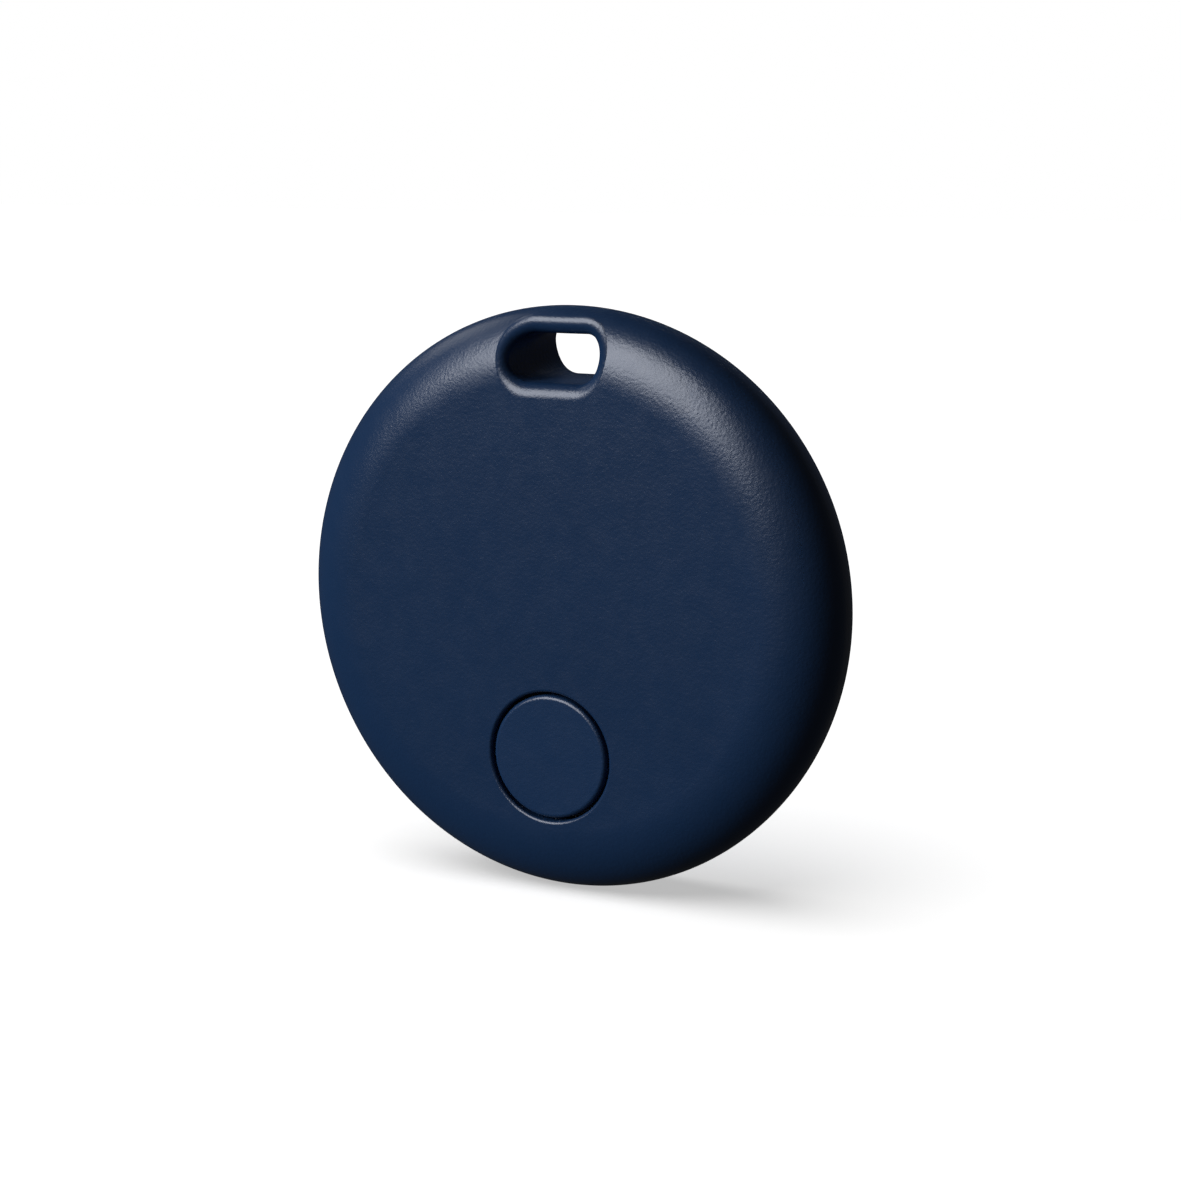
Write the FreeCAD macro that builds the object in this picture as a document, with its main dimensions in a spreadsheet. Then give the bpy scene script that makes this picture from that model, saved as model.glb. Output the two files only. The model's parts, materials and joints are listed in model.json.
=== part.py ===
import FreeCAD
import Part
import Sketcher
import os
import re

# Bluetooth tracker tag: a round puck with a strap slot near the rim, a flush push button in its
# face and a clip-on rear cover over a 20 mm coin cell.
# Frame: origin at the puck's centre, the disc's axis along Y with the face toward -Y,
# the slot at the top (+Z) and the button at the bottom. Millimetres.

DIMENSIONS = [
    # outer form
    ("disc_radius", 19.0, "largest radius of the puck"),
    ("face_y", -4.0, "front face"),
    ("rear_y", 4.0, "rear face"),
    ("equator_y", -0.8, "plane of the largest radius"),
    ("face_flat_radius", 14.5, "flat part of the front face"),
    ("rear_flat_radius", 15.0, "flat part of the rear face"),
    ("seam_y", 2.2, "plane where the rear cover meets the shell"),
    ("seam_gap", 0.05, "gap between cover and shell"),
    ("seam_break", 0.15, "rounding of both edges of the seam"),
    ("floor_y", -2.8, "inner side of the front wall"),
    ("cavity_radius", 16.5, "bore of the shell"),
    ("cavity_corner", 1.2, "rounding at the floor of the bore"),
    # strap slot
    ("slot_z", 15.77, "height of the slot's centre"),
    ("slot_half_width", 3.2, "half the channel's width"),
    ("slot_half_height", 1.52, "half the channel's height"),
    ("slot_lip", 0.65, "rounding of the slot's front mouth"),
    ("slot_rear_lip", 0.5, "rounding of the slot's rear mouth"),
    ("block_half_width", 4.5, "half the width of the block round the slot"),
    ("block_bottom_z", 12.85, "underside of the block round the slot"),
    ("block_top_z", 17.6, "where the block runs into the rim"),
    ("block_corner", 1.9, "corner rounding of the block"),
    ("block_cut_top_z", 22.0, "top of the cuts that leave the block free"),
    ("beyond", 24.0, "a distance outside the puck, for open cuts"),
    # push button and its guide
    ("button_z", -9.8, "height of the button's axis"),
    ("button_radius", 4.04, "button's face"),
    ("button_hole_radius", 4.26, "hole in the front wall"),
    ("button_edge", 0.28, "rounding of the button's face edge"),
    ("button_hole_edge", 0.22, "rounding of the hole's edge"),
    ("flange_radius", 4.79, "button's retaining flange"),
    ("flange_front_y", -2.75, "front of the flange"),
    ("flange_rear_y", -2.4, "rear of the flange"),
    ("nib_radius", 1.1, "boss that meets the switch"),
    ("nib_y", -2.3, "end of the boss"),
    ("guide_bore", 4.85, "guide collar, inside radius"),
    ("guide_outside", 5.6, "guide collar, outside radius"),
    ("guide_y", -2.0, "end of the guide collar"),
    # board and its screws
    ("board_radius", 15.6, "printed circuit board"),
    ("board_front_y", -1.5, "component side of the board"),
    ("board_rear_y", -0.7, "battery side of the board"),
    ("board_notch_gap", 0.3, "gap from the board to the slot block"),
    ("screw_x", 10.7, "screw position, sideways"),
    ("screw_z", 7.2, "screw position, up and down"),
    ("boss_radius", 1.5, "screw boss"),
    ("pilot_radius", 0.5, "pilot hole in the boss"),
    ("pilot_y", -3.2, "bottom of the pilot hole"),
    ("screw_shank_radius", 0.5, "screw shank"),
    ("screw_tip_y", -3.1, "screw tip"),
    ("screw_head_radius", 0.95, "screw head"),
    ("screw_head_height", 0.5, "screw head"),
    ("screw_hole_radius", 0.6, "clearance hole for a screw"),
    ("recess_half_width", 0.13, "arm of the cross recess"),
    ("recess_reach", 0.5, "reach of the cross recess"),
    ("recess_depth", 0.3, "depth of the cross recess"),
    # battery cradle
    ("cradle_bore", 10.08, "cradle ring, inside radius"),
    ("cradle_outside", 11.2, "cradle ring, outside radius"),
    ("cradle_top_y", 1.7, "top of the cradle ring"),
    ("ear_radius", 2.0, "ear round each screw"),
    ("ear_y", 0.1, "top of the ears"),
    ("contact_gap_half", 2.2, "gap in the ring for the side contact"),
    ("cradle_edge", 0.3, "rounding of the ring's outer edge"),
    # coin cell
    ("cell_radius", 10.0, "coin cell"),
    ("cell_rear_y", 2.8, "flat face of the can"),
    ("cell_front_y", -0.4, "flat face of the cap"),
    ("crimp_y", -0.1, "crimped edge of the can"),
    ("can_wall", 0.25, "wall of the can"),
    ("can_corner", 0.45, "rounding of the can"),
    ("cap_radius", 8.75, "cap"),
    ("gasket_radius", 9.15, "gasket between cap and can"),
    ("gasket_step_y", 0.15, "underside of the crimp"),
    ("gasket_end_y", 0.4, "lower end of the cap and the gasket"),
    # rear cover
    ("cover_inside_y", 2.85, "inner side of the cover"),
    ("lip_outside", 16.42, "cover's locating lip, outside radius"),
    ("lip_inside", 15.4, "cover's locating lip, inside radius"),
    ("lip_y", 1.2, "end of the locating lip"),
    ("cover_notch_gap", 0.08, "gap from the cover to the slot block"),
    ("bead_root", 16.3, "where a snap bead starts in the lip"),
    ("bead_outside", 16.64, "snap bead"),
    ("bead_slope", 0.1, "slope of both sides of a bead"),
    ("bead_start_y", 1.35, "snap bead, lower side"),
    ("bead_end_y", 1.75, "snap bead, upper side"),
    ("bead_angle", 18.0, "length of a snap bead, in degrees"),
    ("relief_outside", 16.72, "groove that a bead runs in"),
    ("relief_angle", 20.0, "length of that groove, in degrees"),
    ("pry_half_width", 2.6, "pry notch in the cover's edge"),
    ("pry_reach_z", -17.0, "inner end of the pry notch"),
    ("pry_y", 2.85, "top of the pry notch"),
    # switch
    ("switch_half_x", 1.5, "half the switch's width"),
    ("switch_half_z", 1.3, "half the switch's height"),
    ("switch_shelf_y", -1.9, "top of the switch's housing"),
    ("switch_top_y", -2.0, "top of the switch's frame"),
    ("switch_pocket_radius", 1.1, "pocket under the frame"),
    ("switch_pocket_y", -1.58, "floor of that pocket"),
    ("plunger_radius", 0.62, "switch plunger"),
    ("plunger_hole", 0.68, "hole in the switch's frame"),
    ("plunger_flange", 0.95, "plunger's flange"),
    ("plunger_top_y", -2.2, "top of the plunger"),
    ("plunger_shelf_y", -1.88, "top of the plunger's flange"),
    ("plunger_bottom_y", -1.78, "bottom of the plunger"),
    ("dome_radius", 1.0, "snap dome"),
    ("dome_crest_radius", 0.35, "flat crest of the dome"),
    ("dome_crest_y", -1.67, "crest of the dome"),
    ("dome_sheet", 0.04, "thickness of the dome"),
    # buzzer
    ("buzzer_z", 3.8, "height of the buzzer's centre"),
    ("buzzer_radius", 7.5, "brass plate of the buzzer"),
    ("adhesive_inside", 6.7, "adhesive ring, inside radius"),
    ("adhesive_y", -2.7, "rear of the adhesive ring"),
    ("plate_y", -2.55, "rear of the brass plate"),
    ("ceramic_y", -2.4, "rear of the ceramic disc"),
    ("ceramic_radius", 5.2, "ceramic disc"),
    ("plate_contact_z", 10.2, "height of the spring on the plate"),
    ("ceramic_contact_z", 7.4, "height of the spring on the ceramic"),
    ("spring_sheet", 0.1, "thickness of the buzzer's springs"),
    ("spring_reach", 1.5, "half the length of a buzzer spring"),
    ("spring_knee", 0.55, "where a spring bends, as a share of its reach"),
    ("spring_width", 0.8, "width of a buzzer spring"),
    # battery contacts
    ("contact_sheet", 0.12, "thickness of the battery contacts"),
    ("leaf_base", 1.6, "half the soldered length of the leaf"),
    ("leaf_reach", 6.0, "half the length of the leaf"),
    ("leaf_width", 2.6, "width of the leaf"),
    ("leaf_tip_y", -0.42, "top of the leaf's tips"),
    ("side_contact_x", 10.04, "inner side of the side contact"),
    ("side_contact_foot_x", 12.4, "outer end of its foot"),
    ("side_contact_top_y", 1.5, "top of the side contact"),
    ("side_contact_width", 3.4, "width of the side contact"),
    ("side_contact_flare", 0.3, "lead-in at its top"),
    # chips and small parts on the board
    ("soc_z", 2.6, "radio chip, height of its centre"),
    ("soc_half", 2.5, "half its side"),
    ("tall_y", -2.3, "top of the tall parts"),
    ("flat_y", -2.0, "top of the flat parts"),
    ("thin_y", -1.85, "top of the thin parts"),
    ("crystal_x", 5.2, "main crystal, sideways"),
    ("crystal_z", -3.2, "main crystal, up and down"),
    ("crystal_half_x", 1.25, "half its width"),
    ("crystal_half_z", 1.0, "half its height"),
    ("watch_crystal_x", -6.9, "sleep clock crystal, sideways"),
    ("watch_crystal_z", 2.0, "sleep clock crystal, up and down"),
    ("watch_crystal_half_x", 0.75, "half its width"),
    ("watch_crystal_half_z", 1.6, "half its height"),
    ("sensor_x", -6.2, "motion sensor, sideways"),
    ("sensor_z", -4.5, "motion sensor, up and down"),
    ("sensor_half", 1.0, "half its side"),
    ("antenna_x", 13.2, "antenna, sideways"),
    ("antenna_half_x", 0.8, "half its width"),
    ("antenna_half_z", 1.6, "half its height"),
    ("inductor_x", 5.7, "inductors, sideways"),
    ("inductor_z", 2.2, "lower inductor, up and down"),
    ("inductor_pitch", 2.4, "spacing of the inductors"),
    ("inductor_half_x", 0.8, "half their width"),
    ("inductor_half_z", 0.65, "half their height"),
    ("small_half_long", 0.5, "half the length of a small part"),
    ("small_half_short", 0.25, "half the width of a small part"),
    ("capacitor_x", 3.6, "column of capacitors, sideways"),
    ("capacitor_z", 0.4, "lowest capacitor"),
    ("capacitor_pitch", 1.1, "spacing of the capacitors"),
    ("resistor_x", -3.3, "first resistor, sideways"),
    ("resistor_z", -2.0, "row of resistors, up and down"),
    ("resistor_pitch", 1.3, "spacing of the resistors"),
    ("terminal_inner_z", 0.6, "switch terminals, inner side"),
    ("terminal_outer_z", 1.1, "switch terminals, outer side"),
    ("terminal_end_x", 1.9, "switch terminals, outer end"),
    ("terminal_y", -1.62, "top of the switch terminals"),
]

doc = FreeCAD.newDocument("tracker_tag")
sheet = doc.addObject("Spreadsheet::Sheet", "dims")
for row, (alias, value, note) in enumerate(DIMENSIONS, 1):
    sheet.set(f"A{row}", note)
    sheet.set(f"B{row}", str(value))
    sheet.setAlias(f"B{row}", alias)
doc.recompute()

ALIASES = {alias for alias, _, _ in DIMENSIONS}
HALF_TURN = 3.141592653589793
CLOSE = 1e-3
MOUTH_SLACK = 0.05
LEAST_CUT = 1e-4
NAMES = re.compile(r"[a-z][a-z_]*")
BODIES = []

# radius of the outer surface where the seam meets it, and at the cover's edge
REAR_DEPTH = "(rear_y - equator_y)"
SEAM_RADIUS = (
    "rear_flat_radius + (disc_radius - rear_flat_radius)"
    f" * sqrt(1 - ((seam_y - equator_y) / {REAR_DEPTH})^2)"
)
COVER_RADIUS = (
    "rear_flat_radius + (disc_radius - rear_flat_radius)"
    f" * sqrt(1 - ((seam_y + seam_gap - equator_y) / {REAR_DEPTH})^2)"
)


def bound(text):
    """The expression with each alias read from the sheet."""
    return NAMES.sub(lambda m: "dims." + m[0] if m[0] in ALIASES else m[0], str(text))


def number(text):
    """The value of an expression."""
    return float(sheet.evalExpression(bound(text)))


def origin_plane(body, role):
    return next(f for f in body.Origin.OriginFeatures if f.Role == role)


def new_body(label, z=None):
    """A sub-part, with its own axis raised to z where it has one."""
    body = doc.addObject("PartDesign::Body", label)
    body.Label = label
    body.AllowCompound = True
    body.Placement = FreeCAD.Placement()
    if z is not None:
        body.setExpression("Placement.Base.z", bound(z))
    BODIES.append(body)
    return body


def new_sketch(body, name, role, offset=None):
    sketch = body.newObject("Sketcher::SketchObject", f"{body.Label}_{name}")
    sketch.AttachmentSupport = [(origin_plane(body, role), "")]
    sketch.MapMode = "FlatFace"
    if offset is not None:
        sketch.setExpression("AttachmentOffset.Base.z", bound(offset))
    return sketch


def layer(body, name, y):
    """A sketch parallel to the faces of the puck, at depth y. Its own axis points to -Y."""
    return new_sketch(body, name, "XZ_Plane", f"-({y})")


def hold(sketch, kind, where, text):
    """A dimension of the sketch that follows the sheet."""
    index = sketch.addConstraint(Sketcher.Constraint(kind, *where, number(text)))
    sketch.setExpression(f"Constraints[{index}]", bound(text))


def hold_point(sketch, geometry, position, u, v):
    hold(sketch, "DistanceX", (-1, 1, geometry, position), u)
    hold(sketch, "DistanceY", (-1, 1, geometry, position), v)


def point(u, v):
    return FreeCAD.Vector(number(u), number(v), 0)


def circle(sketch, u, v, radius):
    shape = Part.Circle(point(u, v), FreeCAD.Vector(0, 0, 1), number(radius))
    index = sketch.addGeometry(shape, False)
    hold_point(sketch, index, 3, u, v)
    hold(sketch, "Radius", (index,), radius)


def polygon(sketch, corners):
    """A closed outline of straight lines."""
    first = None
    for start, end in zip(corners, corners[1:] + corners[:1]):
        index = sketch.addGeometry(Part.LineSegment(point(*start), point(*end)), False)
        if first is None:
            first = index
        hold_point(sketch, index, 1, *start)
    last = index
    for index in range(first, last):
        sketch.addConstraint(Sketcher.Constraint("Coincident", index, 2, index + 1, 1))
    sketch.addConstraint(Sketcher.Constraint("Coincident", last, 2, first, 1))


def rectangle(sketch, u0, u1, v0, v1):
    polygon(sketch, [(u0, v0), (u1, v0), (u1, v1), (u0, v1)])


def line(sketch, start, end):
    return sketch.addGeometry(Part.LineSegment(point(*start), point(*end)), False)


def join_tangent(sketch, chain):
    """Closes a chain of lines and arcs, each tangent to the next."""
    for here, after in zip(chain, chain[1:] + chain[:1]):
        sketch.addConstraint(Sketcher.Constraint("Tangent", here, 2, after, 1))


def corner_arc(sketch, u, v, radius, quarter, turns=1):
    """An arc that starts at the given quarter turn and goes on for so many quarters."""
    ring = Part.Circle(point(u, v), FreeCAD.Vector(0, 0, 1), number(radius))
    arc = Part.ArcOfCircle(ring, quarter * HALF_TURN / 2, (quarter + turns) * HALF_TURN / 2)
    index = sketch.addGeometry(arc, False)
    hold_point(sketch, index, 3, u, v)
    hold(sketch, "Radius", (index,), radius)
    return index


def obround(sketch, v, half_width, half_height):
    """A slot outline with round ends, centred sideways."""
    reach = f"({half_width} - {half_height})"
    low, high = f"{v} - {half_height}", f"{v} + {half_height}"
    chain = [
        line(sketch, (f"-{reach}", low), (reach, low)),
        corner_arc(sketch, reach, v, half_height, -1, 2),
        line(sketch, (reach, high), (f"-{reach}", high)),
        corner_arc(sketch, f"-{reach}", v, half_height, 1, 2),
    ]
    join_tangent(sketch, chain)


def rounded_block(sketch, half_width, low, high, corner):
    """A rectangle with rounded corners, centred sideways."""
    left, right = f"-({half_width}) + {corner}", f"({half_width}) - {corner}"
    bottom, top = f"({low}) + {corner}", f"({high}) - {corner}"
    chain = [
        line(sketch, (left, low), (right, low)),
        corner_arc(sketch, right, bottom, corner, -1),
        line(sketch, (half_width, bottom), (half_width, top)),
        corner_arc(sketch, right, top, corner, 0),
        line(sketch, (right, high), (left, high)),
        corner_arc(sketch, left, top, corner, 1),
        line(sketch, (f"-({half_width})", top), (f"-({half_width})", bottom)),
        corner_arc(sketch, left, bottom, corner, 2),
    ]
    join_tangent(sketch, chain)


def screw_circles(sketch, radius):
    for u in ("screw_x", "-screw_x"):
        for v in ("screw_z", "-screw_z"):
            circle(sketch, u, v, radius)


def feature(body, kind, name, sketch):
    item = body.newObject(f"PartDesign::{kind}", f"{body.Label}_{name}")
    item.Profile = sketch
    sketch.Visibility = False
    return item


def pad(body, name, sketch, to_y, from_y):
    """Material from the sketch's depth from_y to to_y."""
    item = feature(body, "Pad", name, sketch)
    item.Reversed = number(to_y) > number(from_y)
    item.setExpression("Length", bound(f"abs(({to_y}) - ({from_y}))"))
    return item


def pocket(body, name, sketch, to_y, from_y):
    """A cut from the sketch's depth from_y to to_y; it has to take something away."""
    doc.recompute()
    before = body.Shape.Volume
    item = feature(body, "Pocket", name, sketch)
    item.Reversed = number(to_y) < number(from_y)
    item.setExpression("Length", bound(f"abs(({to_y}) - ({from_y}))"))
    doc.recompute()
    if body.Shape.Volume > before - LEAST_CUT:
        raise RuntimeError(f"{item.Name} removes nothing")
    return item


def revolve(body, name, sketch, kind="Revolution", angle=None, axis="V_Axis"):
    """A turned shape about the body's own Y axis."""
    item = feature(body, kind, name, sketch)
    item.ReferenceAxis = (sketch, [axis])
    item.Angle = 360
    if angle is not None:
        item.Midplane = True
        item.setExpression("Angle", bound(angle))
    return item


def repeat_round(body, name, item, count):
    """A feature repeated round the body's Y axis."""
    pattern = body.newObject("PartDesign::PolarPattern", f"{body.Label}_{name}")
    pattern.Originals = [item]
    pattern.Axis = (origin_plane(body, "Y_Axis"), [""])
    pattern.Angle = 360
    pattern.Occurrences = count
    body.Tip = pattern
    return pattern


def circles_at(shape, radius, y, centre_z=0):
    """Names of the edges that run round an axis along Y, at this radius and depth."""
    names = []
    for index, edge in enumerate(shape.Edges, 1):
        start, end = edge.ParameterRange
        samples = [edge.valueAt(start + (end - start) * share) for share in (0, 0.3, 0.6, 1)]
        radii = [(spot.x**2 + (spot.z - centre_z) ** 2) ** 0.5 for spot in samples]
        level = all(abs(spot.y - y) < CLOSE for spot in samples)
        if level and all(abs(r - radius) < CLOSE for r in radii):
            names.append(f"Edge{index}")
    return names


def fillet(body, name, edges, radius):
    if not edges:
        raise RuntimeError(f"{body.Label}_{name} finds no edge")
    base = body.Tip
    item = body.newObject("PartDesign::Fillet", f"{body.Label}_{name}")
    item.Base = (base, edges)
    item.setExpression("Radius", bound(radius))
    body.Tip = item
    doc.recompute()
    return item


def rim_curve(sketch, flat_radius, face, near="equator_y"):
    """The rounded rim from the edge of a flat at depth face to the depth near, a part of an ellipse.

    The ellipse's centre, its axes and both ends follow the sheet. Returns the curve, near and far end.
    """
    radial, axial = f"(disc_radius - {flat_radius})", f"abs({face} - equator_y)"
    wide = number(radial) > number(axial)
    long, short = (radial, axial) if wide else (axial, radial)
    centre, edge = point(flat_radius, "equator_y"), point(flat_radius, face)
    across, along = FreeCAD.Vector(number(radial), 0, 0), FreeCAD.Vector(0, number(axial), 0)
    major, minor = (across, along) if wide else (along, -across)
    ellipse = Part.Ellipse(centre + major, centre + minor, centre)
    reach = (number(near) - centre.y) / (edge.y - centre.y)
    start = centre + across * (1 - reach**2) ** 0.5 + FreeCAD.Vector(0, number(near) - centre.y, 0)
    ends = sorted([ellipse.parameter(start), ellipse.parameter(edge)])
    if ends[1] - ends[0] > HALF_TURN:
        ends = [ends[1], ends[0] + 2 * HALF_TURN]
    index = sketch.addGeometry(Part.ArcOfEllipse(ellipse, *ends), False)
    near_end = 1 if (sketch.Geometry[index].StartPoint - start).Length < CLOSE else 2
    sketch.exposeInternalGeometry(index)
    hold_point(sketch, index, 3, flat_radius, "equator_y")
    sketch.addConstraint(Sketcher.Constraint("Horizontal" if wide else "Vertical", index + 1))
    hold(sketch, "Distance", (index + 1,), f"2 * {long}")
    hold(sketch, "Distance", (index + 2,), f"2 * {short}")
    hold(sketch, "DistanceY", (-1, 1, index, near_end), near)
    hold(sketch, "DistanceX", (-1, 1, index, 3 - near_end), flat_radius)
    return index, near_end, 3 - near_end


def flat_to_axis(sketch, curve, far_end, flat_radius, face):
    """The flat face from the end of a rim curve to the axis."""
    index = line(sketch, (flat_radius, face), ("0", face))
    sketch.addConstraint(Sketcher.Constraint("Coincident", curve, far_end, index, 1))
    sketch.addConstraint(Sketcher.Constraint("Horizontal", index))
    hold(sketch, "DistanceX", (-1, 1, index, 2), "0")
    return index


def mouth_edges(shape, low_y, high_y):
    """Names of the edges where the slot's channel comes out, between two depths."""
    reach = number("slot_half_width") + MOUTH_SLACK
    height = number("slot_half_height") + MOUTH_SLACK
    names = []
    for index, edge in enumerate(shape.Edges, 1):
        box = edge.BoundBox
        beside = max(abs(box.XMin), abs(box.XMax)) < reach
        level = all(abs(z - number("slot_z")) < height for z in (box.ZMin, box.ZMax))
        if beside and level and box.YMin > low_y - MOUTH_SLACK and box.YMax < high_y + MOUTH_SLACK:
            names.append(f"Edge{index}")
    return names


def boxes(label, centres, half_u, half_v, to_y):
    """Small flat parts soldered to the board's front, one solid for each centre."""
    body = new_body(label)
    outline = layer(body, "outline", "board_front_y")
    for u, v in centres:
        rectangle(outline, f"{u} - {half_u}", f"{u} + {half_u}", f"{v} - {half_v}", f"{v} + {half_v}")
    pad(body, "block", outline, to_y, "board_front_y")
    return body


def turned(label, corners, z=None):
    """A turned sub-part from its half section, given as radius and depth."""
    body = new_body(label, z)
    section = new_sketch(body, "section", "XY_Plane")
    polygon(section, corners)
    revolve(body, "turned", section)
    doc.recompute()
    return body


def disc(label, radius, from_y, to_y, z, bore=None):
    body = new_body(label, z)
    outline = layer(body, "outline", from_y)
    circle(outline, "0", "0", radius)
    if bore is not None:
        circle(outline, "0", "0", bore)
    pad(body, "disc", outline, to_y, from_y)
    return body


def bent_strip(label, outlines, width):
    """Strips of sheet metal that keep one section across their width, at the given heights."""
    body = new_body(label)
    for index, (z, corners) in enumerate(outlines, 1):
        section = new_sketch(body, f"section_{index}", "XY_Plane", z)
        polygon(section, corners)
        strip = feature(body, "Pad", f"strip_{index}", section)
        strip.Midplane = True
        strip.setExpression("Length", bound(width))
    return body


# ---- front shell: face, rim and the block round the strap slot, moulded in one piece

shell = new_body("front_shell")
section = new_sketch(shell, "section", "XY_Plane")
front_curve, _, front_far = rim_curve(section, "face_flat_radius", "face_y")
rear_curve, _, rear_far = rim_curve(section, "rear_flat_radius", "rear_y")
face_line = flat_to_axis(section, front_curve, front_far, "face_flat_radius", "face_y")
rear_line = flat_to_axis(section, rear_curve, rear_far, "rear_flat_radius", "rear_y")
axis_line = line(section, ("0", "face_y"), ("0", "rear_y"))
section.addConstraint(Sketcher.Constraint("Coincident", axis_line, 1, face_line, 2))
section.addConstraint(Sketcher.Constraint("Coincident", axis_line, 2, rear_line, 2))
revolve(shell, "puck", section)

# behind the seam only the block round the slot is left standing
cover_space = layer(shell, "cover_space", "rear_y")
circle(cover_space, "0", "0", "beyond")
rounded_block(cover_space, "block_half_width", "block_bottom_z", "block_cut_top_z", "block_corner")
pocket(shell, "cover_space_cut", cover_space, "seam_y", "rear_y")

cavity = layer(shell, "cavity", "seam_y")
circle(cavity, "0", "0", "cavity_radius")
pocket(shell, "cavity_cut", cavity, "floor_y", "seam_y")
bore_edges = circles_at(shell.Shape, number("cavity_radius"), number("floor_y"))
fillet(shell, "cavity_corner", bore_edges, "cavity_corner")

block = layer(shell, "block", "seam_y")
rounded_block(block, "block_half_width", "block_bottom_z", "block_top_z", "block_corner")
pad(shell, "block_pad", block, "floor_y", "seam_y")

# strap slot, with a rounded lip at both mouths
channel = layer(shell, "channel", "face_y")
obround(channel, "slot_z", "slot_half_width", "slot_half_height")
pocket(shell, "channel_cut", channel, "rear_y", "face_y")
fillet(shell, "front_lip", mouth_edges(shell.Shape, number("face_y"), number("floor_y")), "slot_lip")
fillet(shell, "rear_lip", mouth_edges(shell.Shape, number("seam_y"), number("rear_y")), "slot_rear_lip")

# button's hole and the collar that guides its flange
collar = layer(shell, "collar", "floor_y")
circle(collar, "0", "button_z", "guide_outside")
circle(collar, "0", "button_z", "guide_bore")
pad(shell, "collar_pad", collar, "guide_y", "floor_y")
button_hole = layer(shell, "button_hole", "face_y")
circle(button_hole, "0", "button_z", "button_hole_radius")
pocket(shell, "button_hole_cut", button_hole, "floor_y", "face_y")
hole_edges = circles_at(shell.Shape, number("button_hole_radius"), number("face_y"), number("button_z"))
fillet(shell, "button_hole_edge", hole_edges, "button_hole_edge")

# screw bosses
bosses = layer(shell, "bosses", "floor_y")
screw_circles(bosses, "boss_radius")
pad(shell, "bosses_pad", bosses, "board_front_y", "floor_y")
pilots = layer(shell, "pilots", "board_front_y")
screw_circles(pilots, "pilot_radius")
pocket(shell, "pilots_cut", pilots, "pilot_y", "board_front_y")

# grooves that the cover's snap beads run in
relief = new_sketch(shell, "relief", "YZ_Plane")
rectangle(relief, "bead_start_y - bead_slope", "seam_y", "-relief_outside", "-bead_root")
relief_cut = revolve(shell, "relief_cut", relief, "Groove", "relief_angle", "H_Axis")
repeat_round(shell, "relief_cuts", relief_cut, 3)
doc.recompute()
fillet(shell, "seam_edge", circles_at(shell.Shape, number(SEAM_RADIUS), number("seam_y")), "seam_break")

# ---- rear cover: snaps on from behind and fits round the slot's block

cover = new_body("rear_cover")
section = new_sketch(cover, "section", "XY_Plane")
cover_edge_y = "seam_y + seam_gap"
rear_curve, near_end, rear_far = rim_curve(section, "rear_flat_radius", "rear_y", cover_edge_y)
rear_line = flat_to_axis(section, rear_curve, rear_far, "rear_flat_radius", "rear_y")
inside = [
    (COVER_RADIUS, cover_edge_y),
    ("lip_outside", cover_edge_y),
    ("lip_outside", "lip_y"),
    ("lip_inside", "lip_y"),
    ("lip_inside", "cover_inside_y"),
    ("0", "cover_inside_y"),
    ("0", "rear_y"),
]
chain = [line(section, start, end) for start, end in zip(inside, inside[1:])]
for index, corner in zip(chain[1:], inside[1:]):
    hold_point(section, index, 1, *corner)
    section.addConstraint(Sketcher.Constraint("Coincident", index - 1, 2, index, 1))
section.addConstraint(Sketcher.Constraint("Coincident", rear_curve, near_end, chain[0], 1))
section.addConstraint(Sketcher.Constraint("Coincident", rear_line, 2, chain[-1], 2))
revolve(cover, "dish", section)

notch = layer(cover, "notch", "rear_y")
rounded_block(
    notch,
    "block_half_width + cover_notch_gap",
    "block_bottom_z - cover_notch_gap",
    "block_cut_top_z",
    "block_corner + cover_notch_gap",
)
pocket(cover, "notch_cut", notch, "lip_y", "rear_y")

bead = new_sketch(cover, "bead", "YZ_Plane")
polygon(
    bead,
    [
        ("bead_start_y", "-bead_root"),
        ("bead_start_y", "-lip_outside"),
        ("bead_start_y + bead_slope", "-bead_outside"),
        ("bead_end_y - bead_slope", "-bead_outside"),
        ("bead_end_y", "-lip_outside"),
        ("bead_end_y", "-bead_root"),
    ],
)
first_bead = revolve(cover, "first_bead", bead, "Revolution", "bead_angle", "H_Axis")
repeat_round(cover, "beads", first_bead, 3)

pry = layer(cover, "pry", "pry_y")
rectangle(pry, "-pry_half_width", "pry_half_width", "-beyond", "pry_reach_z")
pocket(cover, "pry_cut", pry, "seam_y", "pry_y")
edge_circles = circles_at(cover.Shape, number(COVER_RADIUS), number(cover_edge_y))
fillet(cover, "seam_edge", edge_circles, "seam_break")

# ---- push button and the switch behind it

button = turned(
    "button_cap",
    [
        ("0", "face_y"),
        ("button_radius", "face_y"),
        ("button_radius", "flange_front_y"),
        ("flange_radius", "flange_front_y"),
        ("flange_radius", "flange_rear_y"),
        ("nib_radius", "flange_rear_y"),
        ("nib_radius", "nib_y"),
        ("0", "nib_y"),
    ],
    "button_z",
)
button_edges = circles_at(button.Shape, number("button_radius"), number("face_y"), number("button_z"))
fillet(button, "face_edge", button_edges, "button_edge")

switch_base = new_body("switch_base", "button_z")
base_outline = layer(switch_base, "outline", "board_front_y")
rectangle(base_outline, "-switch_half_x", "switch_half_x", "-switch_half_z", "switch_half_z")
pad(switch_base, "housing", base_outline, "switch_shelf_y", "board_front_y")
well = layer(switch_base, "well", "switch_shelf_y")
circle(well, "0", "0", "switch_pocket_radius")
pocket(switch_base, "well_cut", well, "switch_pocket_y", "switch_shelf_y")

switch_frame = new_body("switch_frame", "button_z")
frame_outline = layer(switch_frame, "outline", "switch_shelf_y")
rectangle(frame_outline, "-switch_half_x", "switch_half_x", "-switch_half_z", "switch_half_z")
circle(frame_outline, "0", "0", "plunger_hole")
pad(switch_frame, "sheet", frame_outline, "switch_top_y", "switch_shelf_y")

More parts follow.
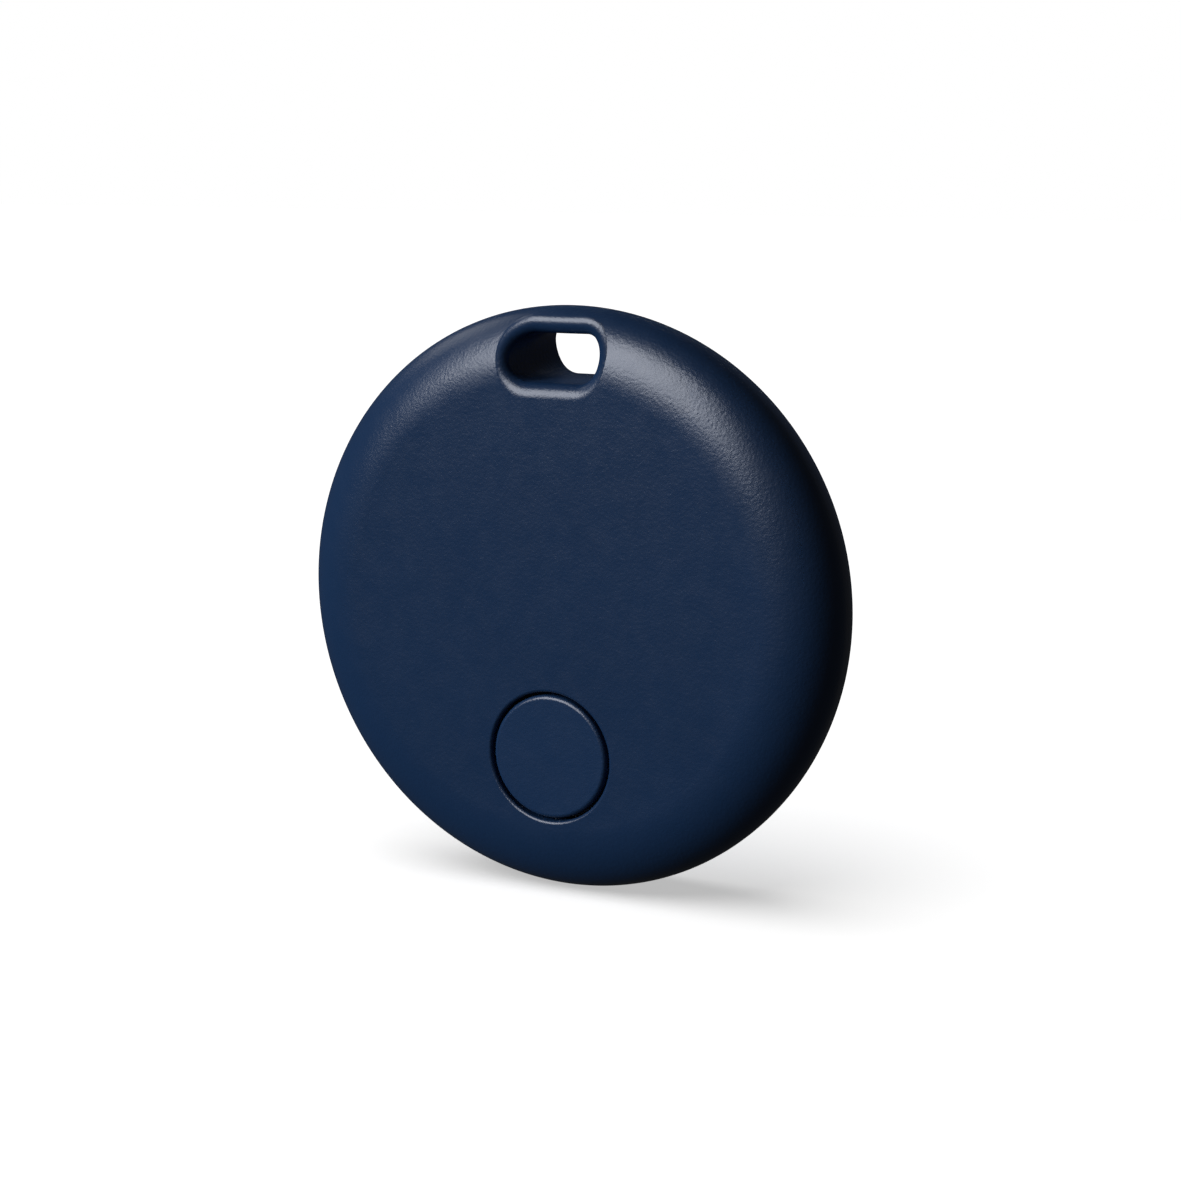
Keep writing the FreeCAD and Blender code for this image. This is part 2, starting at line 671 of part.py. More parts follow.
turned(
    "switch_dome",
    [
        ("0", "dome_crest_y"),
        ("dome_crest_radius", "dome_crest_y"),
        ("dome_radius", "switch_pocket_y - dome_sheet"),
        ("dome_radius", "switch_pocket_y"),
        ("dome_radius - 2 * dome_sheet", "switch_pocket_y"),
        ("dome_crest_radius", "dome_crest_y + dome_sheet"),
        ("0", "dome_crest_y + dome_sheet"),
    ],
    "button_z",
)
turned(
    "switch_plunger",
    [
        ("0", "plunger_top_y"),
        ("plunger_radius", "plunger_top_y"),
        ("plunger_radius", "plunger_shelf_y"),
        ("plunger_flange", "plunger_shelf_y"),
        ("plunger_flange", "plunger_bottom_y"),
        ("0", "plunger_bottom_y"),
    ],
    "button_z",
)
terminals = new_body("switch_terminals", "button_z")
feet = layer(terminals, "feet", "board_front_y")
for inner_x, outer_x in (("-terminal_end_x", "-switch_half_x"), ("switch_half_x", "terminal_end_x")):
    rectangle(feet, inner_x, outer_x, "terminal_inner_z", "terminal_outer_z")
    rectangle(feet, inner_x, outer_x, "-terminal_outer_z", "-terminal_inner_z")
pad(terminals, "tabs", feet, "terminal_y", "board_front_y")

# ---- circuit board and the parts on its front

board = new_body("main_board")
board_outline = layer(board, "outline", "board_front_y")
circle(board_outline, "0", "0", "board_radius")
screw_circles(board_outline, "screw_hole_radius")
pad(board, "laminate", board_outline, "board_rear_y", "board_front_y")
board_notch = layer(board, "notch", "board_rear_y")
rounded_block(
    board_notch,
    "block_half_width + board_notch_gap",
    "block_bottom_z - board_notch_gap",
    "block_cut_top_z",
    "block_corner + board_notch_gap",
)
pocket(board, "notch_cut", board_notch, "board_front_y", "board_rear_y")

boxes("radio_chip", [("0", "soc_z")], "soc_half", "soc_half", "tall_y")
boxes("main_crystal", [("crystal_x", "crystal_z")], "crystal_half_x", "crystal_half_z", "flat_y")
boxes(
    "sleep_crystal",
    [("watch_crystal_x", "watch_crystal_z")],
    "watch_crystal_half_x",
    "watch_crystal_half_z",
    "tall_y",
)
boxes("motion_sensor", [("sensor_x", "sensor_z")], "sensor_half", "sensor_half", "tall_y")
boxes("antenna_chip", [("antenna_x", "0")], "antenna_half_x", "antenna_half_z", "tall_y")
inductor_places = [("inductor_x", f"(inductor_z + {step} * inductor_pitch)") for step in range(2)]
boxes("inductors", inductor_places, "inductor_half_x", "inductor_half_z", "tall_y")
capacitor_places = [
    (column, f"(capacitor_z + {step} * capacitor_pitch)")
    for column in ("-capacitor_x", "capacitor_x")
    for step in range(5)
]
boxes("capacitors", capacitor_places, "small_half_long", "small_half_short", "flat_y")
resistor_places = [(f"(resistor_x + {step} * resistor_pitch)", "resistor_z") for step in range(6)]
boxes("resistors", resistor_places, "small_half_short", "small_half_long", "thin_y")

# ---- buzzer: stuck to the inside of the face, fed by two springs on the board

disc("buzzer_adhesive", "buzzer_radius", "floor_y", "adhesive_y", "buzzer_z", "adhesive_inside")
disc("buzzer_plate", "buzzer_radius", "adhesive_y", "plate_y", "buzzer_z")
disc("buzzer_ceramic", "ceramic_radius", "plate_y", "ceramic_y", "buzzer_z")


def buzzer_spring(top_y):
    """Half section of a spring that rises from the board's front to top_y."""
    knee = "spring_knee * spring_reach"
    return [
        ("-spring_reach", "board_front_y"),
        ("spring_sheet", "board_front_y"),
        (f"{knee} + spring_sheet", f"{top_y} + spring_sheet"),
        ("spring_reach", f"{top_y} + spring_sheet"),
        ("spring_reach", top_y),
        (knee, top_y),
        ("0", "board_front_y - spring_sheet"),
        ("-spring_reach", "board_front_y - spring_sheet"),
    ]


springs = [("plate_contact_z", buzzer_spring("plate_y")), ("ceramic_contact_z", buzzer_spring("ceramic_y"))]
bent_strip("buzzer_springs", springs, "spring_width")

# ---- battery bay: cradle, screws, contacts and the coin cell

cradle = new_body("battery_cradle")
ring = layer(cradle, "ring", "board_rear_y")
circle(ring, "0", "0", "cradle_outside")
circle(ring, "0", "0", "cradle_bore")
pad(cradle, "ring_pad", ring, "cradle_top_y", "board_rear_y")
ears = layer(cradle, "ears", "board_rear_y")
screw_circles(ears, "ear_radius")
pad(cradle, "ears_pad", ears, "ear_y", "board_rear_y")
ear_holes = layer(cradle, "ear_holes", "ear_y")
screw_circles(ear_holes, "screw_hole_radius")
pocket(cradle, "ear_holes_cut", ear_holes, "board_rear_y", "ear_y")
gap = layer(cradle, "gap", "cradle_top_y")
rectangle(gap, "0", "beyond", "-contact_gap_half", "contact_gap_half")
pocket(cradle, "gap_cut", gap, "board_rear_y", "cradle_top_y")
ring_edges = circles_at(cradle.Shape, number("cradle_outside"), number("cradle_top_y"))
fillet(cradle, "ring_edge", ring_edges, "cradle_edge")

screws = new_body("board_screws")
shanks = layer(screws, "shanks", "ear_y")
screw_circles(shanks, "screw_shank_radius")
pad(screws, "shanks_pad", shanks, "screw_tip_y", "ear_y")
heads = layer(screws, "heads", "ear_y")
screw_circles(heads, "screw_head_radius")
head_y = "ear_y + screw_head_height"
pad(screws, "heads_pad", heads, head_y, "ear_y")
recess = layer(screws, "recess", head_y)
for u in ("screw_x", "-screw_x"):
    for v in ("screw_z", "-screw_z"):
        arms = []
        for su, sv in ((1, 1), (-1, 1), (-1, -1), (1, -1)):
            inner = (f"{u} + {su} * recess_half_width", f"{v} + {sv} * recess_half_width")
            side = (f"{u} + {su} * recess_reach", f"{v} + {sv} * recess_half_width")
            tip = (f"{u} + {su} * recess_half_width", f"{v} + {sv} * recess_reach")
            arms += [side, inner, tip] if su * sv > 0 else [tip, inner, side]
        polygon(recess, arms)
pocket(screws, "recess_cut", recess, f"{head_y} - recess_depth", head_y)

leaf_tip = "leaf_tip_y - contact_sheet"
leaf = [
    ("-leaf_base", "board_rear_y"),
    ("leaf_base", "board_rear_y"),
    ("leaf_reach", leaf_tip),
    ("leaf_reach", "leaf_tip_y"),
    ("leaf_base", "board_rear_y + contact_sheet"),
    ("-leaf_base", "board_rear_y + contact_sheet"),
    ("-leaf_reach", "leaf_tip_y"),
    ("-leaf_reach", leaf_tip),
]
bent_strip("negative_contact", [("0", leaf)], "leaf_width")
outer_x = "side_contact_x + contact_sheet"
side_contact = [
    ("side_contact_x", "board_rear_y"),
    ("side_contact_foot_x", "board_rear_y"),
    ("side_contact_foot_x", "board_rear_y + contact_sheet"),
    (outer_x, "board_rear_y + contact_sheet"),
    (outer_x, "side_contact_top_y"),
    (f"{outer_x} + side_contact_flare", "side_contact_top_y + side_contact_flare"),
    ("side_contact_x + side_contact_flare", "side_contact_top_y + side_contact_flare"),
    ("side_contact_x", "side_contact_top_y"),
]
bent_strip("positive_contact", [("0", side_contact)], "side_contact_width")

can = turned(
    "cell_can",
    [
        ("0", "cell_rear_y"),
        ("cell_radius", "cell_rear_y"),
        ("cell_radius", "crimp_y"),
        ("gasket_radius", "crimp_y"),
        ("gasket_radius", "gasket_step_y"),
        ("cell_radius - can_wall", "gasket_step_y"),
        ("cell_radius - can_wall", "cell_rear_y - can_wall"),
        ("0", "cell_rear_y - can_wall"),
    ],
)
fillet(can, "rim_edge", circles_at(can.Shape, number("cell_radius"), number("cell_rear_y")), "can_corner")
fillet(can, "crimp_edge", circles_at(can.Shape, number("cell_radius"), number("crimp_y")), "can_wall / 2")
cap = turned(
    "cell_cap",
    [
        ("0", "cell_front_y"),
        ("cap_radius", "cell_front_y"),
        ("cap_radius", "gasket_end_y"),
        ("cap_radius - can_wall", "gasket_end_y"),
        ("cap_radius - can_wall", "cell_front_y + can_wall"),
        ("0", "cell_front_y + can_wall"),
    ],
)
cap_edges = circles_at(cap.Shape, number("cap_radius"), number("cell_front_y"))
fillet(cap, "face_edge", cap_edges, "can_wall / 2")
turned(
    "cell_gasket",
    [
        ("cap_radius", "crimp_y"),
        ("gasket_radius", "crimp_y"),
        ("gasket_radius", "gasket_step_y"),
        ("cell_radius - can_wall", "gasket_step_y"),
        ("cell_radius - can_wall", "gasket_end_y"),
        ("cap_radius", "gasket_end_y"),
    ],
)
turned(
    "cell_core",
    [
        ("0", "cell_front_y + can_wall"),
        ("cap_radius - can_wall", "cell_front_y + can_wall"),
        ("cap_radius - can_wall", "gasket_end_y"),
        ("cell_radius - can_wall", "gasket_end_y"),
        ("cell_radius - can_wall", "cell_rear_y - can_wall"),
        ("0", "cell_rear_y - can_wall"),
    ],
)

# ---- checks and export

doc.recompute()
for item in doc.Objects:
    if "Invalid" in item.State or "Error" in item.State:
        raise RuntimeError(f"{item.Name}: {item.getStatusString()}")
os.makedirs("parts", exist_ok=True)
for body in BODIES:
    if body.Shape.isNull() or not body.Shape.isValid():
        raise RuntimeError(f"{body.Label} has no valid shape")
    body.Shape.exportStep(f"parts/{body.Label}.step")
    print(f"{body.Label}: {len(body.Shape.Solids)} solid, {body.Shape.Volume:.2f} mm3")
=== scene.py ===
import json
import math
import bpy
import numpy as np
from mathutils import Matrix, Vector
from mathutils.geometry import delaunay_2d_cdt


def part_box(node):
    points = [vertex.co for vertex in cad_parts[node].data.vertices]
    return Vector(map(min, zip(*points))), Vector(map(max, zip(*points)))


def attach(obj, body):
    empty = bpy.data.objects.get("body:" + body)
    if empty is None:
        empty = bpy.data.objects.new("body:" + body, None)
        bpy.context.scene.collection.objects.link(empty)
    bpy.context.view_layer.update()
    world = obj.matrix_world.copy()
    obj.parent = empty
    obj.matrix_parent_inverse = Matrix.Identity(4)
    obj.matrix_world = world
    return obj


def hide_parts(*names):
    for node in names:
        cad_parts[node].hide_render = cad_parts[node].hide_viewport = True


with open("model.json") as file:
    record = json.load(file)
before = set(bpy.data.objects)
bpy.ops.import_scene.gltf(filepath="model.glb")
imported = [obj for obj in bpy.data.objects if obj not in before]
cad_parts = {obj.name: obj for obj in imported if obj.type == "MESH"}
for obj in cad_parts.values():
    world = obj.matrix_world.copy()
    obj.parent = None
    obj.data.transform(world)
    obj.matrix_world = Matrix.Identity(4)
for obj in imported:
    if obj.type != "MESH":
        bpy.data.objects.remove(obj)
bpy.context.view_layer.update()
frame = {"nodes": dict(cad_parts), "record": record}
nodes = frame["nodes"]

# The outer mouldings are built here from smooth curves, in millimetres. They follow the sizes of
# their nodes, apart from the slot's front edge, which is rounder along the bottom.
MM = 0.001
TURN = 2 * math.pi
SEGMENTS, HOLE_SEGMENTS = 360, 192
RIM_RINGS, COVER_RINGS = 26, 40
LIP_CLEAR, SEAM_CLEAR = 0.12, 0.06
TOUCH, NEAR, SQUARE = 0.001, 0.01, 0.999
shell_low, shell_high = (Vector(corner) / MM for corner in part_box("front_shell"))
RADIUS, FACE, REAR = shell_high.x, shell_low.y, shell_high.y
EQUATOR = -0.8
FACE_FLAT, REAR_FLAT = 14.5, 15.0
SEAM, SEAM_BREAK = 2.2, 0.15
FLOOR, BORE = -2.8, 16.5
SLOT_Z, SLOT_HALF, SLOT_RISE = 15.77, 3.2, 1.52
FRONT_LIP, FRONT_LIP_LOW, REAR_LIP = 0.65, 1.0, 0.5
BLOCK_HALF, BLOCK_LOW, BLOCK_CORNER, BLOCK_EDGE = 4.5, 12.85, 1.9, 0.12
BUTTON_Z, BUTTON_HOLE, HOLE_EDGE = -9.8, 4.26, 0.22
BUTTON_RADIUS, BUTTON_EDGE = 4.04, 0.28
FLANGE_FRONT, FLANGE_REAR, NIB_RADIUS = -2.75, -2.4, 1.1
COVER_LAND, COVER_GAP, COVER_INSIDE = 2.25, 0.08, 2.85
LIP_OUT, LIP_IN, LIP_END = 16.42, 15.4, 1.2
PRY_HALF, PRY_Z, PRY_Y = 2.6, -17.0, 2.85


# ---------- surfaces and curves ----------

def rim_y(r, flat, face):
    """Depth of the outer surface at radius r: a flat with an elliptic rounding."""
    share = np.clip((np.asarray(r, float) - flat) / (RADIUS - flat), 0, 1)
    return EQUATOR + (face - EQUATOR) * np.sqrt(1 - share**2)


def rim_radius(y, flat, face):
    """Radius of the outer surface at depth y."""
    share = np.clip((y - EQUATOR) / (face - EQUATOR), -1, 1)
    return flat + (RADIUS - flat) * np.sqrt(1 - share**2)


def rim_normal(x, z, flat, face):
    """Outward unit normal of the outer surface."""
    r = np.hypot(x, z)
    share = np.clip((r - flat) / (RADIUS - flat), 0, 1)
    out = share / (RADIUS - flat)
    along = np.sqrt(1 - share**2) / (face - EQUATOR)
    turn = np.arctan2(z, x)
    n = np.stack([np.cos(turn) * out, along, np.sin(turn) * out], -1)
    return n / np.linalg.norm(n, axis=-1, keepdims=True)


def front_y(x, z):
    return rim_y(np.hypot(x, z), FACE_FLAT, FACE)


def rear_y(x, z):
    return rim_y(np.hypot(x, z), REAR_FLAT, REAR)


def front_normal(x, z):
    return rim_normal(x, z, FACE_FLAT, FACE)


def rear_normal(x, z):
    return rim_normal(x, z, REAR_FLAT, REAR)


def arc(cx, cz, radius, start, stop, count):
    """Points and outward normals of an arc in a plane."""
    a = np.linspace(start, stop, count)
    n = np.stack([np.cos(a), np.sin(a)], -1)
    return np.array([cx, cz]) + radius * n, n


def straight(start, end, count, normal):
    """Points along a line, each with the same normal."""
    t = np.linspace(0, 1, count)[:, None]
    points = np.array(start, float) * (1 - t) + np.array(end, float) * t
    return points, np.repeat(np.array([normal], float), count, 0)


def chain(*parts):
    """Joins pieces of an outline, leaving out a point that repeats the one before it."""
    points, normals = (np.concatenate(p) for p in zip(*parts))
    keep = np.r_[True, np.hypot(*(points[1:] - points[:-1]).T) > 1e-6]
    return points[keep], normals[keep]


def slot_outline():
    """The slot's wall: two straight sides and two half rounds, with normals into the material."""
    reach = SLOT_HALF - SLOT_RISE
    low, high = SLOT_Z - SLOT_RISE, SLOT_Z + SLOT_RISE
    points, normals = chain(
        straight((-reach, low), (reach, low), 22, (0, -1)),
        arc(reach, SLOT_Z, SLOT_RISE, -TURN / 4, TURN / 4, 48),
        straight((reach, high), (-reach, high), 22, (0, 1)),
        arc(-reach, SLOT_Z, SLOT_RISE, TURN / 4, 3 * TURN / 4, 48),
    )
    return points[:-1], normals[:-1]


def block_outline(grow, top_radius):
    """The U round the slot, from its right end at top_radius, down and back up to the left end."""
    half, low, corner = BLOCK_HALF + grow, BLOCK_LOW - grow, BLOCK_CORNER + grow
    top = math.sqrt(top_radius**2 - half**2)
    return chain(
        straight((half, top), (half, low + corner), 16, (1, 0)),
        arc(half - corner, low + corner, corner, 0, -TURN / 4, 16),
        straight((half - corner, low), (corner - half, low), 16, (0, -1)),
        arc(corner - half, low + corner, corner, -TURN / 4, -TURN / 2, 16),
        straight((-half, low + corner), (-half, top), 16, (-1, 0)),
    )


def inside_loop(points, loop):
    """True for the points inside a closed outline."""
    x, y = points[:, 0], points[:, 1]
    count = np.zeros(len(points), int)
    for (x0, y0), (x1, y1) in zip(loop, np.roll(loop, -1, 0)):
        if y0 != y1:
            crosses = ((y0 <= y) & (y < y1)) | ((y1 <= y) & (y < y0))
            count += crosses & (x < x0 + (y - y0) * (x1 - x0) / (y1 - y0))
    return count % 2 == 1


def clear_of(points, loop, gap):
    """The points further than gap from every point of a loop."""
    near = np.hypot(points[:, None, 0] - loop[None, :, 0], points[:, None, 1] - loop[None, :, 1])
    return points[near.min(1) > gap]


def ring_points(flat, rings):
    """Points on rings of the rounded rim, at equal steps round its ellipse."""
    spots = []
    for k in range(rings):
        r = flat + (RADIUS - flat) * math.sin(TURN / 4 * k / rings)
        spots.append(arc(0, 0, r, 0, TURN, SEGMENTS + 1)[0][:-1])
    return np.concatenate(spots)


def flat_points(rows):
    """The X and Z of points."""
    return rows[:, [0, 2]]


def lifted(points, y):
    """XZ points set at depth y."""
    return np.stack([points[:, 0], np.broadcast_to(y, len(points)), points[:, 1]], -1)


# ---------- rounded edges ----------

HALVINGS, SETTLINGS = 36, 30
REACH_SAMPLES, REACH_RADII, DEPTH_RADII = 1500, 5, 6
EDGE_SHARE, LEAST_EDGE = 0.3, 1e-3


def lip_rows(points, normals, radius, surface, side, steps=10):
    """Rounding between walls parallel to Y along an outline and the outer surface beyond them.

    normals point into the material. side is -1 for the front surface and 1 for the rear. Returns
    rows of points, and their surface normals, from the wall to the outer surface.
    """
    radius = np.broadcast_to(radius, len(points)).astype(float)
    reach = np.linspace(0, REACH_RADII, REACH_SAMPLES)[None, :] * radius[:, None]
    x = points[:, :1] + normals[:, :1] * reach
    z = points[:, 1:] + normals[:, 1:] * reach
    depth = side * surface(x, z)
    low, high = depth.min(1) - DEPTH_RADII * radius, depth.max(1)
    for _ in range(HALVINGS):
        middle = (low + high) / 2
        near = np.hypot(reach - radius[:, None], depth - middle[:, None]).min(1)
        low, high = np.where(near > radius, middle, low), np.where(near > radius, high, middle)
    centre = (low + high) / 2
    nearest = np.hypot(reach - radius[:, None], depth - centre[:, None]).argmin(1)
    pick = np.arange(len(points))
    last = np.arctan2(depth[pick, nearest] - centre, reach[pick, nearest] - radius)
    rows, row_normals = [], []
    for t in np.linspace(0, 1, steps):
        angle = math.pi + (last - math.pi) * t
        out, along = np.cos(angle), np.sin(angle)
        spot = points + normals * (radius + radius * out)[:, None]
        y = side * (centre + radius * along) if t < 1 else surface(spot[:, 0], spot[:, 1])
        rows.append(lifted(spot, y))
        row_normals.append(lifted(normals * out[:, None], side * along))
    return np.array(rows), np.array(row_normals)


def seam_rows(angles, rho, land, side, steps=5):
    """The rounded edge where the rear surface meets a flat land at a depth.

    side is 1 where the land faces the rear and -1 where it faces the front.
    """
    y = np.full(len(angles), land, float)
    for _ in range(SETTLINGS):
        r = rim_radius(y, REAR_FLAT, REAR)
        n = rim_normal(r, 0 * r, REAR_FLAT, REAR)
        y = land - side * rho + rho * n[:, 1]
    r = rim_radius(y, REAR_FLAT, REAR)
    centre_r, centre_y = r - rho * n[:, 0], y - rho * n[:, 1]
    first = np.arctan2(n[:, 1], n[:, 0])
    rows, normals = [], []
    for t in np.linspace(0, 1, steps):
        a = first + (side * TURN / 4 - first) * t
        radial, depth = centre_r + rho * np.cos(a), centre_y + rho * np.sin(a)
        rows.append(np.stack([radial * np.cos(angles), depth, radial * np.sin(angles)], -1))
        out = np.cos(a)
        normals.append(np.stack([out * np.cos(angles), np.sin(a), out * np.sin(angles)], -1))
    return np.array(rows), np.array(normals)


def fade(angles, width):
    """1 along a run of angles, falling to almost nothing at its two ends."""
    span = np.minimum(np.abs(angles - angles[0]), np.abs(angles - angles[-1])) / width
    return np.clip(span, 0.001, 1)


def block_edge(points, normals, height):
    """The small rounding along the U between the block and the cover."""
    radius = np.clip(height * EDGE_SHARE, LEAST_EDGE, BLOCK_EDGE)
    return lip_rows(points, normals, radius, rear_y, 1, 5)


# ---------- meshes ----------

class Moulding:
    """Patches with their own exact normals, joined where their points meet."""

    def __init__(self):
        self.points, self.normals, self.faces, self.count = [], [], [], 0

    def patch(self, points, normals, faces):
        """Adds faces, each turned to agree with the normals at its corners."""
        points, normals = np.reshape(points, (-1, 3)), np.reshape(normals, (-1, 3))
        for face in faces:
            corners = points[list(face)]
            spread = np.cross(corners - corners[0], np.roll(corners, -1, 0) - corners[0]).sum(0)
            ring = face if np.dot(spread, normals[list(face)].sum(0)) > 0 else face[::-1]
            self.faces.append([i + self.count for i in ring])
        self.points.append(points)
        self.normals.append(normals)
        self.count += len(points)

    def strip(self, rows, normals, closed=False):
        """A grid of rows by columns; closed joins the last column to the first."""
        rows = np.asarray(rows, float)
        normals = np.broadcast_to(np.asarray(normals, float), rows.shape)
        m, n = rows.shape[:2]
        faces = []
        for i in range(m - 1):
            for j in range(n if closed else n - 1):
                k = (j + 1) % n
                faces.append([i * n + j, i * n + k, (i + 1) * n + k, (i + 1) * n + j])
        self.patch(rows, normals, faces)

    def sheet(self, loops, inner, inside, height, normal):
        """A triangulated surface over the XZ plane, between loops and through inner points."""
        flat = [Vector(p) for loop in loops for p in loop] + [Vector(p) for p in inner]
        edges, start = [], 0
        for loop in loops:
            edges += [(start + i, start + (i + 1) % len(loop)) for i in range(len(loop))]
            start += len(loop)
        made, _, faces, _, _, _ = delaunay_2d_cdt(flat, edges, [], 0, 1e-7)
        spots = np.array([(p.x, p.y) for p in made])
        middles = np.array([spots[list(face)].mean(0) for face in faces])
        kept = [list(face) for face, good in zip(faces, inside(middles)) if good]
        x, z = spots.T
        self.patch(np.stack([x, height(x, z), z], -1), normal(x, z), kept)

    def turned(self, pieces, centre_z, count):
        """Pieces of a half section, each (radius, depth) points and normals, turned about Y."""
        a = np.linspace(0, TURN, count, endpoint=False)
        for points, normals in pieces:
            (r, y), (out, along) = (np.asarray(p, float).T[:, :, None] for p in (points, normals))
            rows = np.stack([r * np.cos(a), y + 0 * a, r * np.sin(a) + centre_z], -1)
            self.strip(rows, np.stack([out * np.cos(a), along + 0 * a, out * np.sin(a)], -1), True)

    def carried(self, node, keep):
        """Adds the faces of a CAD node that keep accepts by their middle and normal."""
        mesh = nodes[node].data
        corners = np.array([mesh.vertices[loop.vertex_index].co for loop in mesh.loops]) / MM
        directions = np.array([corner.vector for corner in mesh.corner_normals])
        faces = [
            list(face.loop_indices)
            for face in mesh.polygons
            if keep(*(np.array(face.center) / MM), face.normal.y)
        ]
        self.patch(corners, directions, faces)

    def build(self, name, body, node):
        """Makes the piece, with points that share a place joined, to ride and replace a node."""
        points, normals = np.concatenate(self.points), np.concatenate(self.normals)
        used = np.unique(np.concatenate([np.array(face) for face in self.faces]))
        place = np.full(len(points), -1)
        _, first, index = np.unique(
            np.round(points[used], 4), axis=0, return_index=True, return_inverse=True
        )
        place[used] = index.reshape(-1)
        faces, loop_normals, seen = [], [], set()
        for face in self.faces:
            ring, source = [], []
            for corner in face:
                if place[corner] not in ring:
                    ring.append(int(place[corner]))
                    source.append(corner)
            if len(ring) > 2 and frozenset(ring) not in seen:
                seen.add(frozenset(ring))
                faces.append(ring)
                loop_normals += [tuple(normals[corner]) for corner in source]
        mesh = bpy.data.meshes.new(name)
        mesh.from_pydata([tuple(p) for p in points[used][first] * MM], [], faces)
        mesh.polygons.foreach_set("use_smooth", [True] * len(mesh.polygons))
        mesh.normals_split_custom_set(loop_normals)
        piece = bpy.data.objects.new(name, mesh)
        bpy.context.scene.collection.objects.link(piece)
        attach(piece, body)
        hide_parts(node)
        return piece


def slot_distance(x, z):
    """Distance from the middle line of the slot."""
    return math.hypot(max(abs(x) - SLOT_HALF + SLOT_RISE, 0), z - SLOT_Z)


def shell_inside(x, y, z, facing):
    """True for the faces of the shell's cavity, bosses, collar and seam land."""
    r = math.hypot(x, z)
    if y > SEAM + TOUCH or slot_distance(x, z) < SLOT_RISE + FRONT_LIP + 0.1:
        return False
    if r > BORE + 0.5:
        return facing > SQUARE and abs(y - SEAM) < TOUCH
    return y > FLOOR - TOUCH


def build_shell():
    """The face, the rim and the block round the slot, with the CAD's own inside."""
    shell = Moulding()
    # front surface with the slot's mouth and the button's hole
    outline, outward = slot_outline()
    lip = FRONT_LIP + (FRONT_LIP_LOW - FRONT_LIP) * np.clip(-outward[:, 1], 0, 1) ** 2
    front_rows, front_normals = lip_rows(outline, outward, lip, front_y, -1)
    mouth = flat_points(front_rows[-1])
    hole = arc(0, BUTTON_Z, BUTTON_HOLE + HOLE_EDGE, 0, TURN, HOLE_SEGMENTS + 1)[0][:-1]
    equator = arc(0, 0, RADIUS, 0, TURN, SEGMENTS + 1)[0][:-1]

    def in_front(p):
        return ~inside_loop(p, mouth) & ~inside_loop(p, hole) & (np.hypot(*p.T) < RADIUS)

    inner = ring_points(FACE_FLAT, RIM_RINGS)
    inner = clear_of(inner[in_front(inner)], mouth, LIP_CLEAR)
    shell.sheet([equator, mouth, hole], inner, in_front, front_y, front_normal)
    shell.strip(front_rows, front_normals, True)
    # channel and its rear lip
    rear_rows, rear_normals = lip_rows(outline, outward, REAR_LIP, rear_y, 1)
    steps = np.linspace(0, 1, 9)[:, None, None]
    wall = front_rows[0][None] * (1 - steps) + rear_rows[0][None] * steps
    shell.strip(wall, lifted(-outward, 0)[None], True)
    shell.strip(rear_rows, rear_normals, True)
    # button hole
    top = FACE + HOLE_EDGE
    hole_edge = arc(BUTTON_HOLE + HOLE_EDGE, top, HOLE_EDGE, -TURN / 4, -TURN / 2, 8)
    hole_wall = straight((BUTTON_HOLE, top), (BUTTON_HOLE, FLOOR), 2, (-1, 0))
    shell.turned([hole_edge, hole_wall], BUTTON_Z, HOLE_SEGMENTS)
    # rear surface: a ring behind the equator, and the block round the slot
    u_points, u_normals = block_outline(0, float(rim_radius(SEAM, REAR_FLAT, REAR)))
    u_rows, u_row_normals = block_edge(u_points, -u_normals, rear_y(*u_points.T) - SEAM)
    right = math.atan2(u_points[0, 1], u_points[0, 0])
    angles = np.linspace(right, math.pi - right - TURN, SEGMENTS)
    rows, row_normals = seam_rows(angles, SEAM_BREAK * fade(angles, 0.08), SEAM, 1)
    loop = np.concatenate([flat_points(rows[0])[::-1], flat_points(u_rows[-1])[1:-1]])
    rear_mouth = flat_points(rear_rows[-1])

    def behind(p):
        return ~inside_loop(p, loop) & ~inside_loop(p, rear_mouth) & (np.hypot(*p.T) < RADIUS)

    rings = ring_points(REAR_FLAT, RIM_RINGS)
    rings = clear_of(clear_of(rings[behind(rings)], rear_mouth, LIP_CLEAR), loop, SEAM_CLEAR)
    shell.sheet([equator, rear_mouth, loop], rings, behind, rear_y, rear_normal)
    shell.strip(rows, row_normals)
    shell.strip(u_rows, u_row_normals)
    shell.strip([u_rows[0], lifted(u_points, SEAM)], lifted(u_normals, 0)[None])
    shell.carried("front_shell", shell_inside)
    return shell.build("shell_moulding", "housing", "front_shell")


def cover_inside(x, y, z, facing):
    """True for the cover's faces other than its outer surface, its rounded edge and the U."""
    r = math.hypot(x, z)
    outer = float(rim_radius(max(y, EQUATOR), REAR_FLAT, REAR))
    on_outside = y > REAR - NEAR or abs(r - outer) < 3 * NEAR
    if abs(x) < PRY_HALF + NEAR and z < PRY_Z + 0.1 and y < PRY_Y + NEAR:
        return not on_outside
    on_edge = r > LIP_OUT + 0.3 and abs(facing) < SQUARE and y < COVER_LAND + SEAM_BREAK + NEAR
    half, low = BLOCK_HALF + COVER_GAP, BLOCK_LOW - COVER_GAP
    on_u = abs(x) < half + NEAR and z > low - NEAR and abs(facing) < 0.5
    return not (on_outside or on_edge or on_u)


